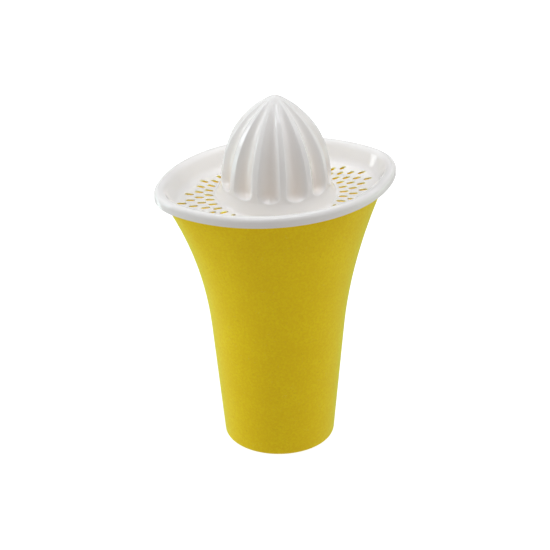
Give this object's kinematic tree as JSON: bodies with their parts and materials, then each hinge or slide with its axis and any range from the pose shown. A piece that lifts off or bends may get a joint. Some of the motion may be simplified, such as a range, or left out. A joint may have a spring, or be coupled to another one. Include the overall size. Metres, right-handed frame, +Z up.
{
  "type": "citrus juicer",
  "caption": "Hand citrus juicer: a tall cup that flares from a round foot to an oval mouth, with a lift-off strainer lid carrying a fluted reamer.",
  "frame": {"origin": "centre of the cup's foot on the table", "axes": "+Z up along the reamer's axis, X along the oval rim's long axis, Y along its short axis"},
  "size_m": [0.117, 0.088, 0.1773],
  "materials": {
    "fibre_composite": "matte moulded, finely speckled",
    "white_plastic": "glossy moulded"
  },
  "bodies": {
    "cup": {"cup": "fibre_composite"},
    "lid": {"reamer_lid": "white_plastic"}
  },
  "joints": [
    {"name": "lid_lift", "type": "slide", "parent": "cup", "child": "lid", "axis": [0, 0, 1], "range_m": [0, 0.06]}
  ]
}
